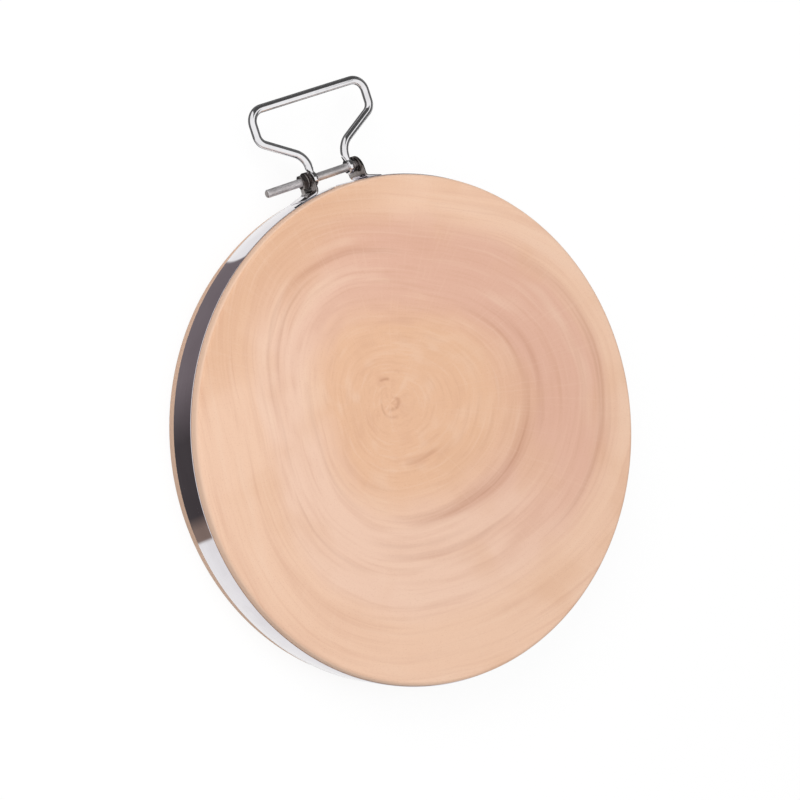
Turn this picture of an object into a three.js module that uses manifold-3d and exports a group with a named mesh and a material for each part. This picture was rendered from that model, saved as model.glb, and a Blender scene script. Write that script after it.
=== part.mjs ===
// Round end-grain chopping board with a clamped steel hoop and a swinging wire bail.
// Millimetres, +Z up. The origin is the centre of the resting face and the bail points along +Y.

import * as THREE from 'three';
import { mergeVertices } from 'three/addons/utils/BufferGeometryUtils.js';
import Module from 'manifold-3d';

// Wooden block
const BOARD_DIAMETER = 300;
const BOARD_THICKNESS = 38;
const BOARD_EDGE_RADIUS = 2.5;

// Steel hoop round the rim, set a little towards the upper face
const HOOP_THICKNESS = 1;
const HOOP_WIDTH = 22;
const HOOP_RAISE = 2;
const HOOP_OPENING = 14;

// Bent ears on the hoop's two ends
const LUG_SPREAD = 32.8;
const LUG_THICKNESS = 1.5;
const LUG_WIDTH = 18;
const LUG_FOOT_LENGTH = 8;
const LUG_BEND_RADIUS = 2;
const LUG_CORNER_RADIUS = 8;
const LUG_TOP_WALL = 2.2;

// Clamp bolt with a slotted round head, its thin nut and its washer
const BOLT_DIAMETER = 5;
const BOLT_RISE = 8.1;
const BOLT_TAIL = 23.4;
const BOLT_TIP_CHAMFER = 0.6;
const HEAD_DIAMETER = 9.4;
const HEAD_RIM = 0.8;
const HEAD_DOME = 1.6;
const SLOT_WIDTH = 1.2;
const SLOT_DEPTH = 1.2;
const NUT_ACROSS_FLATS = 8;
const NUT_HEIGHT = 2.7;
const WASHER_DIAMETER = 10;
const WASHER_THICKNESS = 0.8;

// Wire bail that turns on the bolt between the ears
const WIRE_DIAMETER = 5;
const BAIL_WIDTH = 84.2;
const BAIL_REACH = 50.1;
const BAIL_NECK_HEIGHT = 13.3;
const BAIL_SHOULDER_HEIGHT = 29;
const BAIL_NECK_BEND = 8;
const BAIL_SHOULDER_BEND = 7;
const BAIL_GRIP_BEND = 8;
const EYE_THICKNESS = 3;
const EYE_WALL = 1.9;
const EYE_WIRE_OVERLAP = 1;

// Clearances: round a seated strip, between stacked flat faces, in a turning hole, beside the bail
const STRIP_CLEARANCE = 0.3;
const STACK_CLEARANCE = 0.1;
const HOLE_CLEARANCE = 0.2;
const BAIL_SIDE_PLAY = 0.9;

// Facets
const BOARD_FACETS = 128;
const EDGE_FACETS = 4;
const HOOP_ARC_DIVISIONS = 64;
const FOOT_ARC_DIVISIONS = 6;
const ROUND_FACETS = 32;
const DOME_FACETS = 4;
const HEX_SIDES = 6;
const WIRE_FACETS = 14;
const WIRE_STEP = 2.6;

// Places that follow from the sizes above
const BOARD_RADIUS = BOARD_DIAMETER / 2;
const HOOP_INNER_RADIUS = BOARD_RADIUS + STRIP_CLEARANCE;
const HOOP_OUTER_RADIUS = HOOP_INNER_RADIUS + HOOP_THICKNESS;
const HOOP_MIDDLE_Z = BOARD_THICKNESS / 2 + HOOP_RAISE;
const BOLT_RADIUS = BOLT_DIAMETER / 2;
const BOLT_Y = HOOP_OUTER_RADIUS + BOLT_RISE;
const HOLE_RADIUS = BOLT_RADIUS + HOLE_CLEARANCE;
const WIRE_RADIUS = WIRE_DIAMETER / 2;
const LUG_INNER_X = LUG_SPREAD / 2;
const LUG_OUTER_X = LUG_INNER_X + LUG_THICKNESS;
const LUG_TOP_Y = BOLT_Y + HOLE_RADIUS + LUG_TOP_WALL;
const WASHER_X = LUG_OUTER_X + STACK_CLEARANCE;
const NUT_SEAT_X = WASHER_X + WASHER_THICKNESS + STACK_CLEARANCE;
const BOLT_TIP_X = NUT_SEAT_X + NUT_HEIGHT + BOLT_TAIL;
const HEAD_SEAT_X = LUG_OUTER_X + STACK_CLEARANCE;
const EYE_RADIUS = HOLE_RADIUS + EYE_WALL;
const FOOT_X = LUG_INNER_X - BAIL_SIDE_PLAY - WIRE_RADIUS;
const GRIP_SIDE_X = BAIL_WIDTH / 2 - WIRE_RADIUS;
const GRIP_BAR_Y = BAIL_REACH - WIRE_RADIUS;

const QUARTER_TURN = Math.PI / 2;
const wasm = await Module();
wasm.setup();

/** A circular bend of the bail's wire in the XY plane. */
class BendCurve extends THREE.Curve {
  constructor(centre, radius, startAngle, endAngle) {
    super();
    this.centre = centre;
    this.radius = radius;
    this.startAngle = startAngle;
    this.endAngle = endAngle;
  }

  getPoint(t, target = new THREE.Vector3()) {
    const angle = this.startAngle + (this.endAngle - this.startAngle) * t;
    return target.set(
      this.centre.x + this.radius * Math.cos(angle),
      this.centre.y + this.radius * Math.sin(angle),
      0,
    );
  }
}

/** Steel or wood finish for one mesh. */
function finish(color, roughness, metalness) {
  return new THREE.MeshStandardMaterial({ color, roughness, metalness });
}

/** A named mesh of one piece. */
function piece(name, geometry, material) {
  const mesh = new THREE.Mesh(geometry, material);
  mesh.name = name;
  return mesh;
}

/** Keep only merged positions, without triangles that have closed up. */
function weld(geometry) {
  const bare = geometry.clone();
  bare.deleteAttribute('normal');
  bare.deleteAttribute('uv');
  const merged = mergeVertices(bare);
  const corners = merged.index.array;
  const kept = [];
  for (let i = 0; i < corners.length; i += 3) {
    const [a, b, c] = corners.slice(i, i + 3);
    if (a !== b && b !== c && c !== a) kept.push(a, b, c);
  }
  merged.setIndex(kept);
  return merged;
}

/** Turn a closed geometry into a solid that can be joined and cut. */
function toSolid(geometry) {
  const merged = weld(geometry);
  const mesh = new wasm.Mesh({
    numProp: 3,
    vertProperties: new Float32Array(merged.attributes.position.array),
    triVerts: new Uint32Array(merged.index.array),
  });
  return new wasm.Manifold(mesh);
}

/** Turn a solid back into a geometry. */
function toGeometry(solid) {
  const mesh = solid.getMesh();
  const geometry = new THREE.BufferGeometry();
  geometry.setAttribute('position', new THREE.BufferAttribute(mesh.vertProperties, 3));
  geometry.setIndex(new THREE.BufferAttribute(mesh.triVerts, 1));
  return geometry;
}

/** A solid of revolution about X, from pairs of [place along X, radius]. */
function turnedAboutX(profile) {
  const points = profile.map(([along, radius]) => new THREE.Vector2(radius, along));
  return new THREE.LatheGeometry(points, ROUND_FACETS).rotateZ(-QUARTER_TURN);
}

/** A plain round bar along X between two places. */
function roundBar(radius, startX, endX) {
  return turnedAboutX([[startX, 0], [startX, radius], [endX, radius], [endX, 0]]);
}

/** A hexagonal bar along X between two places, with two flats upright. */
function hexBar(acrossFlats, startX, endX) {
  const cornerRadius = acrossFlats / 2 / Math.cos(Math.PI / HEX_SIDES);
  const bar = new THREE.CylinderGeometry(cornerRadius, cornerRadius, endX - startX, HEX_SIDES);
  return bar.rotateZ(-QUARTER_TURN).translate((startX + endX) / 2, 0, 0);
}

/** The wooden block, turned with a rounded edge at both faces. */
function boardGeometry() {
  const flatRadius = BOARD_RADIUS - BOARD_EDGE_RADIUS;
  const outline = new THREE.Path();
  outline.moveTo(0, 0);
  outline.lineTo(flatRadius, 0);
  outline.absarc(flatRadius, BOARD_EDGE_RADIUS, BOARD_EDGE_RADIUS, -QUARTER_TURN, 0, false);
  outline.lineTo(BOARD_RADIUS, BOARD_THICKNESS - BOARD_EDGE_RADIUS);
  outline.absarc(flatRadius, BOARD_THICKNESS - BOARD_EDGE_RADIUS, BOARD_EDGE_RADIUS, 0, QUARTER_TURN, false);
  outline.lineTo(0, BOARD_THICKNESS);
  const turned = new THREE.LatheGeometry(outline.getPoints(EDGE_FACETS / 2), BOARD_FACETS);
  return weld(turned.rotateX(QUARTER_TURN));
}

/** The hoop, a strip bent round the rim and open between the two ears. */
function hoopGeometry() {
  const halfOpening = Math.asin(HOOP_OPENING / 2 / HOOP_OUTER_RADIUS);
  const start = QUARTER_TURN + halfOpening;
  const end = QUARTER_TURN + 2 * Math.PI - halfOpening;
  const outline = new THREE.Shape();
  outline.absarc(0, 0, HOOP_OUTER_RADIUS, start, end, false);
  outline.absarc(0, 0, HOOP_INNER_RADIUS, end, start, true);
  const strip = { depth: HOOP_WIDTH, bevelEnabled: false, curveSegments: HOOP_ARC_DIVISIONS };
  return weld(new THREE.ExtrudeGeometry(outline, strip).translate(0, 0, -HOOP_WIDTH / 2));
}

/** The right ear: a foot along the hoop, a bend and an upright plate with a hole. */
function lugGeometry() {
  const footRadius = HOOP_OUTER_RADIUS + STRIP_CLEARANCE;
  const footTop = footRadius + LUG_THICKNESS;
  const bendX = LUG_OUTER_X + LUG_BEND_RADIUS;
  const bendY = Math.sqrt((footTop + LUG_BEND_RADIUS) ** 2 - bendX ** 2);
  const rootAngle = Math.atan2(bendY, bendX);
  const endAngle = rootAngle - LUG_FOOT_LENGTH / footRadius;
  const towardsCentre = rootAngle + Math.PI;
  const outline = new THREE.Shape();
  outline.moveTo(LUG_INNER_X, LUG_TOP_Y);
  outline.lineTo(LUG_INNER_X, bendY);
  outline.absarc(bendX, bendY, LUG_BEND_RADIUS + LUG_THICKNESS, Math.PI, towardsCentre, false);
  outline.absarc(0, 0, footRadius, rootAngle, endAngle, true);
  outline.absarc(0, 0, footTop, endAngle, rootAngle, false);
  outline.absarc(bendX, bendY, LUG_BEND_RADIUS, towardsCentre, Math.PI, true);
  outline.lineTo(LUG_OUTER_X, LUG_TOP_Y);
  const strip = { depth: LUG_WIDTH, bevelEnabled: false, curveSegments: FOOT_ARC_DIVISIONS };
  const bracket = new THREE.ExtrudeGeometry(outline, strip).translate(0, 0, -LUG_WIDTH / 2);
  const hole = roundBar(HOLE_RADIUS, 0, LUG_SPREAD).translate(0, BOLT_Y, 0);
  return toGeometry(toSolid(bracket).intersect(toSolid(lugFrontGeometry())).subtract(toSolid(hole)));
}

/** The ear's outline seen along the bolt, with its two upper corners rounded. */
function lugFrontGeometry() {
  const half = LUG_WIDTH / 2;
  const corner = Math.min(LUG_CORNER_RADIUS, half);
  const outline = new THREE.Shape();
  outline.moveTo(-half, 0);
  outline.lineTo(half, 0);
  outline.lineTo(half, LUG_TOP_Y - corner);
  outline.absarc(half - corner, LUG_TOP_Y - corner, corner, 0, QUARTER_TURN, false);
  outline.absarc(corner - half, LUG_TOP_Y - corner, corner, QUARTER_TURN, Math.PI, false);
  const slab = { depth: BOARD_RADIUS, bevelEnabled: false, curveSegments: FOOT_ARC_DIVISIONS };
  return new THREE.ExtrudeGeometry(outline, slab).rotateY(QUARTER_TURN);
}

/** The clamp bolt, with a slotted dome beyond the right ear and its tail to the left. */
function boltGeometry() {
  const rimX = HEAD_SEAT_X + HEAD_RIM;
  const topX = rimX + HEAD_DOME;
  const headRadius = HEAD_DIAMETER / 2;
  const outline = new THREE.Path();
  outline.moveTo(0, -BOLT_TIP_X);
  outline.lineTo(BOLT_RADIUS - BOLT_TIP_CHAMFER, -BOLT_TIP_X);
  outline.lineTo(BOLT_RADIUS, BOLT_TIP_CHAMFER - BOLT_TIP_X);
  outline.lineTo(BOLT_RADIUS, HEAD_SEAT_X);
  outline.lineTo(headRadius, HEAD_SEAT_X);
  outline.lineTo(headRadius, rimX);
  outline.quadraticCurveTo(headRadius, topX, 0, topX);
  const turned = new THREE.LatheGeometry(outline.getPoints(DOME_FACETS), ROUND_FACETS);
  const slot = new THREE.BoxGeometry(2 * SLOT_DEPTH, SLOT_WIDTH, 2 * HEAD_DIAMETER).translate(topX, 0, 0);
  return toGeometry(toSolid(turned.rotateZ(-QUARTER_TURN)).subtract(toSolid(slot)));
}

/** The thin hexagonal nut, seated against the washer. */
function nutGeometry() {
  const body = hexBar(NUT_ACROSS_FLATS, -NUT_SEAT_X - NUT_HEIGHT, -NUT_SEAT_X);
  const bore = roundBar(HOLE_RADIUS, -BOLT_TIP_X, 0);
  return toGeometry(toSolid(body).subtract(toSolid(bore)));
}

/** The washer between the left ear and the nut. */
function washerGeometry() {
  const disc = roundBar(WASHER_DIAMETER / 2, -WASHER_X - WASHER_THICKNESS, -WASHER_X);
  const bore = roundBar(HOLE_RADIUS, -BOLT_TIP_X, 0);
  return toGeometry(toSolid(disc).subtract(toSolid(bore)));
}

/** Round off a bent line of points, giving straights joined by circular bends. */
function bentWirePath(corners, bends) {
  const path = new THREE.CurvePath();
  let start = corners[0];
  for (let i = 1; i < corners.length - 1; i += 1) {
    const corner = corners[i];
    const back = corners[i - 1].clone().sub(corner).normalize();
    const ahead = corners[i + 1].clone().sub(corner).normalize();
    const halfAngle = back.angleTo(ahead) / 2;
    const reach = bends[i - 1] / Math.tan(halfAngle);
    const entry = corner.clone().addScaledVector(back, reach);
    const exit = corner.clone().addScaledVector(ahead, reach);
    const inward = back.clone().add(ahead).normalize();
    const centre = corner.clone().addScaledVector(inward, bends[i - 1] / Math.sin(halfAngle));
    const entryAngle = Math.atan2(entry.y - centre.y, entry.x - centre.x);
    const turn = new THREE.Vector3().crossVectors(back, ahead).z > 0 ? -1 : 1;
    const exitAngle = entryAngle + turn * (Math.PI - 2 * halfAngle);
    path.add(new THREE.LineCurve3(start, entry));
    path.add(new BendCurve(centre, bends[i - 1], entryAngle, exitAngle));
    start = exit;
  }
  path.add(new THREE.LineCurve3(start, corners[corners.length - 1]));
  return path;
}

/** The bail: one bent wire with a pierced eye on each foot. */
function bailGeometry() {
  const rightHalf = [
    new THREE.Vector3(GRIP_SIDE_X, GRIP_BAR_Y, 0),
    new THREE.Vector3(GRIP_SIDE_X, BAIL_SHOULDER_HEIGHT, 0),
    new THREE.Vector3(FOOT_X, BAIL_NECK_HEIGHT, 0),
    new THREE.Vector3(FOOT_X, EYE_RADIUS - EYE_WIRE_OVERLAP, 0),
  ];
  const mirror = (point) => new THREE.Vector3(-point.x, point.y, 0);
  const corners = [...rightHalf.map(mirror).reverse(), ...rightHalf];
  const halfBends = [BAIL_GRIP_BEND, BAIL_SHOULDER_BEND, BAIL_NECK_BEND];
  const path = bentWirePath(corners, [...halfBends.toReversed(), ...halfBends]);
  const section = new THREE.Shape().absarc(0, 0, WIRE_RADIUS, 0, 2 * Math.PI, false);
  const steps = Math.round(path.getLength() / WIRE_STEP);
  const sweep = { steps, extrudePath: path, curveSegments: WIRE_FACETS / 2 };
  let solid = toSolid(new THREE.ExtrudeGeometry(section, sweep));
  for (const footX of [-FOOT_X, FOOT_X]) {
    const halfEye = EYE_THICKNESS / 2;
    solid = solid.add(toSolid(roundBar(EYE_RADIUS, footX - halfEye, footX + halfEye)));
  }
  return toGeometry(solid.subtract(toSolid(roundBar(HOLE_RADIUS, -LUG_INNER_X, LUG_INNER_X))));
}

const endGrainWood = finish(0xe8c4a2, 0.6, 0);
const polishedSteel = finish(0xd4d4d6, 0.12, 1);
const bentSteel = finish(0x9a9896, 0.3, 1);
const fastenerSteel = finish(0xb0aeaa, 0.3, 1);

const leftLug = piece('left_lug', lugGeometry(), bentSteel);
leftLug.rotation.y = Math.PI;

const clamp = new THREE.Group();
clamp.position.set(0, BOLT_Y, 0);
clamp.add(piece('clamp_bolt', boltGeometry(), fastenerSteel));
clamp.add(piece('clamp_nut', nutGeometry(), fastenerSteel.clone()));
clamp.add(piece('nut_washer', washerGeometry(), fastenerSteel.clone()));
clamp.add(piece('bail_handle', bailGeometry(), polishedSteel.clone()));

const hardware = new THREE.Group();
hardware.position.set(0, 0, HOOP_MIDDLE_Z);
hardware.add(piece('hoop_band', hoopGeometry(), polishedSteel));
hardware.add(leftLug);
hardware.add(piece('right_lug', lugGeometry(), bentSteel.clone()));
hardware.add(clamp);

const cuttingBoard = new THREE.Group();
cuttingBoard.add(piece('board_block', boardGeometry(), endGrainWood));
cuttingBoard.add(hardware);

export default cuttingBoard;
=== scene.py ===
"""Looks of a round end-grain chopping board with a clamped steel hoop and a swinging wire bail.

Metres, +Z up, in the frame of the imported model: the board rests on z = 0 and the bail points along +Y.
"""

from __future__ import annotations

import logging
import math
from collections.abc import Callable, Iterator, Sequence
from contextlib import contextmanager
from dataclasses import dataclass
from enum import Enum
from functools import cached_property
from typing import Any

import bmesh
import bpy
from mathutils import Matrix, Vector

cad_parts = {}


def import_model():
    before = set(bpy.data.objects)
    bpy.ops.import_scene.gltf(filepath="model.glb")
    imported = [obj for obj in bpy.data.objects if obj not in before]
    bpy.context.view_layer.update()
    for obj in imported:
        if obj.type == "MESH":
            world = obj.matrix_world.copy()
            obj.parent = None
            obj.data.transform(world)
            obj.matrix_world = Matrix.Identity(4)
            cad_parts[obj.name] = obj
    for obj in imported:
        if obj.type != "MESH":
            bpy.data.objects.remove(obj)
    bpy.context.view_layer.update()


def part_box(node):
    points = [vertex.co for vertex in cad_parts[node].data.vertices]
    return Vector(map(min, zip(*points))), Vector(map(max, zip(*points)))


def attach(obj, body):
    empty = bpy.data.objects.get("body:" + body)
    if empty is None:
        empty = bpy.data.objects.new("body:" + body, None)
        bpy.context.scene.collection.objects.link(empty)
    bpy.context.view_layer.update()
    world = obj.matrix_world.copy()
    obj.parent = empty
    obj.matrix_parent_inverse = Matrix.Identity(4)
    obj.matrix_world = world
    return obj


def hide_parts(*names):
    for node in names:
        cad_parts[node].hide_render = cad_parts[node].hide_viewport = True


LOG = logging.getLogger("chopping_board")

MM = 0.001
FULL_TURN = 2 * math.pi
QUARTER_TURN = math.pi / 2
WELD_DISTANCE = 0.001 * MM
SMOOTH_ANGLE = math.radians(32)
SAME_WAY = 0.5
ORIGIN = Vector((0, 0, 0))
ALONG_X = Vector((1, 0, 0))
UP = Vector((0, 0, 1))

Triple = tuple[float, float, float]
Colour = Triple
Socket = bpy.types.NodeSocket


class Body(Enum):
    """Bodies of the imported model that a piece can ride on."""

    BOARD = "board"
    WASHER = "washer"
    NUT = "nut"
    BAIL = "bail"


class Slot(Enum):
    """Material slots of the record."""

    WOOD = "end_grain_wood"
    HOOP = "polished_hoop"
    EARS = "bent_ears"
    FASTENERS = "fasteners"
    WIRE = "bail_wire"


class Element(Enum):
    """Kinds of mesh element that can be picked in edit mode."""

    VERTEX = "VERT"
    EDGE = "EDGE"
    FACE = "FACE"


class Join(Enum):
    """Ways in which one solid can act on another."""

    FUSE = "UNION"
    CUT = "DIFFERENCE"
    TRIM = "INTERSECT"


def srgb(red: int, green: int, blue: int) -> Colour:
    """Turn a screen colour into the linear values that shaders take, by the numbers of the sRGB curve.

    Args:
        red: Red level from 0 to 255.
        green: Green level from 0 to 255.
        blue: Blue level from 0 to 255.

    Returns:
        The linear colour.
    """
    levels = (level / 255 for level in (red, green, blue))
    return tuple(v / 12.92 if v <= 0.04045 else ((v + 0.055) / 1.055) ** 2.4 for v in levels)


def outwards(heading: float) -> Vector:
    """Level direction at a heading from +X, in radians."""
    return Vector((math.cos(heading), math.sin(heading), 0))


def facing(direction: Vector) -> Callable[[Any], bool]:
    """Test for faces that look along a direction."""
    return lambda face: face.normal.dot(direction) > SAME_WAY


def clear_bench() -> None:
    """Leave nothing selected, so that an operator acts on one piece only."""
    bpy.ops.object.select_all(action="DESELECT")


class Workpiece:
    """A mesh on the bench, shaped step by step with the modelling operators."""

    def __init__(self, name: str) -> None:
        """Take over the primitive that has just been added.

        Args:
            name: Name of the finished piece.
        """
        self.obj: bpy.types.Object = bpy.context.active_object
        self.obj.name = name
        self.obj.data.name = name
        bpy.ops.object.transform_apply(location=True, rotation=True, scale=True)

    @classmethod
    def rod(cls, name: str, radius: float, ends: tuple[Vector, Vector], sides: int) -> Workpiece:
        """Start from a cylinder between two points.

        Args:
            name: Name of the piece.
            radius: Radius of the cylinder.
            ends: Centres of its two end faces.
            sides: Number of sides.

        Returns:
            The new workpiece.
        """
        clear_bench()
        start, end = ends
        along = end - start
        turn = along.to_track_quat("Z", "Y").to_euler()
        middle = (start + end) / 2
        bpy.ops.mesh.primitive_cylinder_add(
            vertices=sides, radius=radius, depth=along.length, location=middle, rotation=turn
        )
        return cls(name)

    @classmethod
    def block(cls, name: str, low: Vector, high: Vector) -> Workpiece:
        """Start from a square block between two corners.

        Args:
            name: Name of the piece.
            low: Lowest corner.
            high: Highest corner.

        Returns:
            The new workpiece.
        """
        clear_bench()
        bpy.ops.mesh.primitive_cube_add(size=1, location=(low + high) / 2)
        bpy.context.active_object.scale = high - low
        return cls(name)

    @classmethod
    def sheet_end(cls, name: str, size: tuple[float, float], centre: Vector, heading: float) -> Workpiece:
        """Start from the upright end face of a strip, to be spun or drawn out.

        Args:
            name: Name of the piece.
            size: Thickness along the heading and width along Z.
            centre: Middle of the face.
            heading: Angle of the thickness direction from +X, in radians.

        Returns:
            The new workpiece.
        """
        clear_bench()
        bpy.ops.mesh.primitive_plane_add(size=1, location=centre, rotation=(QUARTER_TURN, 0, heading))
        bpy.context.active_object.scale = (*size, 1)
        return cls(name)

    @classmethod
    def wire_end(cls, name: str, radius: float, centre: Vector, sides: int) -> Workpiece:
        """Start from the round end face of a wire that will be drawn out along +Y.

        Args:
            name: Name of the piece.
            radius: Radius of the wire.
            centre: Middle of the face.
            sides: Number of sides.

        Returns:
            The new workpiece.
        """
        clear_bench()
        turn = (QUARTER_TURN, 0, 0)
        bpy.ops.mesh.primitive_circle_add(
            vertices=sides, radius=radius, fill_type="NGON", location=centre, rotation=turn
        )
        return cls(name)

    @classmethod
    def outline(cls, name: str, points: Sequence[Vector]) -> Workpiece:
        """Start from a bent line, drawn out point by point.

        Args:
            name: Name of the piece.
            points: Points of the line, in order.

        Returns:
            The new workpiece.
        """
        clear_bench()
        bpy.ops.mesh.primitive_plane_add(size=1)
        piece = cls(name)
        with piece.editing():
            piece.pick_all(Element.VERTEX)
            bpy.ops.mesh.merge(type="CENTER")
            bpy.ops.transform.translate(value=points[0])
            for before, after in zip(points, points[1:]):
                bpy.ops.mesh.extrude_vertices_move(TRANSFORM_OT_translate={"value": after - before})
        return piece

    @classmethod
    def turned(
        cls, name: str, profile: Sequence[tuple[float, float]], axis: Vector, steps: int
    ) -> Workpiece:
        """Turn a profile about a line along X, as on a lathe.

        Args:
            name: Name of the piece.
            profile: Pairs of place along X and radius, closed on the axis or on itself.
            axis: A point of the line.
            steps: Number of steps in the full turn.

        Returns:
            The new workpiece, closed and facing outwards.
        """
        points = [Vector((along, axis.y + radius, axis.z)) for along, radius in profile]
        piece = cls.outline(name, points)
        with piece.editing():
            piece.pick_all(Element.VERTEX)
            piece.spin(FULL_TURN, axis, ALONG_X, steps)
            piece.seal()
        return piece

    @contextmanager
    def editing(self) -> Iterator[None]:
        """Hold the piece in edit mode while it is shaped."""
        self.take()
        bpy.ops.object.mode_set(mode="EDIT")
        yield
        bpy.ops.object.mode_set(mode="OBJECT")

    def take(self) -> None:
        """Make this piece the only one that is selected."""
        clear_bench()
        self.obj.select_set(True)
        bpy.context.view_layer.objects.active = self.obj

    def pick_all(self, element: Element) -> None:
        """Pick the whole mesh in edit mode."""
        bpy.ops.mesh.select_mode(type=element.value)
        bpy.ops.mesh.select_all(action="SELECT")

    def pick(self, element: Element, wanted: Callable[[Any], bool]) -> None:
        """Pick elements in edit mode by their place or normal.

        Args:
            element: Kind of element.
            wanted: Test that an element has to meet.
        """
        bpy.ops.mesh.select_mode(type=element.value)
        bpy.ops.mesh.select_all(action="DESELECT")
        mesh = bmesh.from_edit_mesh(self.obj.data)
        pools = {Element.VERTEX: mesh.verts, Element.EDGE: mesh.edges, Element.FACE: mesh.faces}
        for item in pools[element]:
            if wanted(item):
                item.select_set(True)
        mesh.select_flush_mode()
        bmesh.update_edit_mesh(self.obj.data)

    def extrude(self, move: Vector) -> None:
        """Draw the picked face out by a straight move."""
        bpy.ops.mesh.extrude_region_move(TRANSFORM_OT_translate={"value": move})

    def spin(self, angle: float, centre: Vector, axis: Vector, steps: int) -> None:
        """Draw what is picked round an axis by the right-hand rule, against the operator's own sense."""
        bpy.ops.mesh.spin(steps=steps, angle=-angle, center=centre, axis=axis)

    def resize(self, factors: Triple, centre: Vector) -> None:
        """Scale what is picked about a point."""
        bpy.ops.transform.resize(value=factors, center_override=centre)

    def bevel(self, width: float, steps: int) -> None:
        """Round the picked edges."""
        bpy.ops.mesh.bevel(offset=width, segments=steps, affect="EDGES")

    def round_corners(self, width: float, steps: int) -> None:
        """Round the picked corners of a flat face."""
        bpy.ops.mesh.bevel(offset=width, segments=steps, affect="VERTICES")

    def seal(self) -> None:
        """Merge doubled points and turn every face outwards."""
        self.pick_all(Element.VERTEX)
        bpy.ops.mesh.remove_doubles(threshold=WELD_DISTANCE)
        bpy.ops.mesh.normals_make_consistent(inside=False)

    def modify(self, kind: str, **settings: Any) -> None:
        """Add a modifier, apply it and weld the slivers that it leaves.

        Args:
            kind: Blender's name of the modifier type.
            **settings: Values of the modifier.
        """
        self.take()
        bpy.ops.object.modifier_add(type=kind)
        modifier = self.obj.modifiers[-1]
        for key, value in settings.items():
            setattr(modifier, key, value)
        bpy.ops.object.modifier_apply(modifier=modifier.name)
        with self.editing():
            self.seal()

    def combine(self, join: Join, tool: Workpiece) -> None:
        """Fuse, cut or trim this piece with another, which is used up."""
        self.modify("BOOLEAN", operation=join.value, object=tool.obj, solver="EXACT")
        bpy.data.objects.remove(tool.obj)

    def ease_edges(self, width: float, steps: int) -> None:
        """Round every sharp edge a little."""
        self.modify("BEVEL", width=width, segments=steps, limit_method="ANGLE", angle_limit=SMOOTH_ANGLE)

    def repaint(self, material: bpy.types.Material, wanted: Callable[[Any], bool]) -> None:
        """Give some faces of a dressed piece another material.

        Args:
            material: The other material.
            wanted: Test that a face has to meet.
        """
        self.obj.data.materials.append(material)
        with self.editing():
            self.pick(Element.FACE, wanted)
            self.obj.active_material_index = len(self.obj.data.materials) - 1
            bpy.ops.object.material_slot_assign()

    def copy(self, name: str) -> Workpiece:
        """Copy the piece with a mesh of its own."""
        self.take()
        bpy.ops.object.duplicate()
        return Workpiece(name)

    def finish(self) -> bpy.types.Object:
        """Smooth the curved faces and hand the object over."""
        self.take()
        bpy.ops.object.shade_smooth_by_angle(angle=SMOOTH_ANGLE)
        return self.obj


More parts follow.
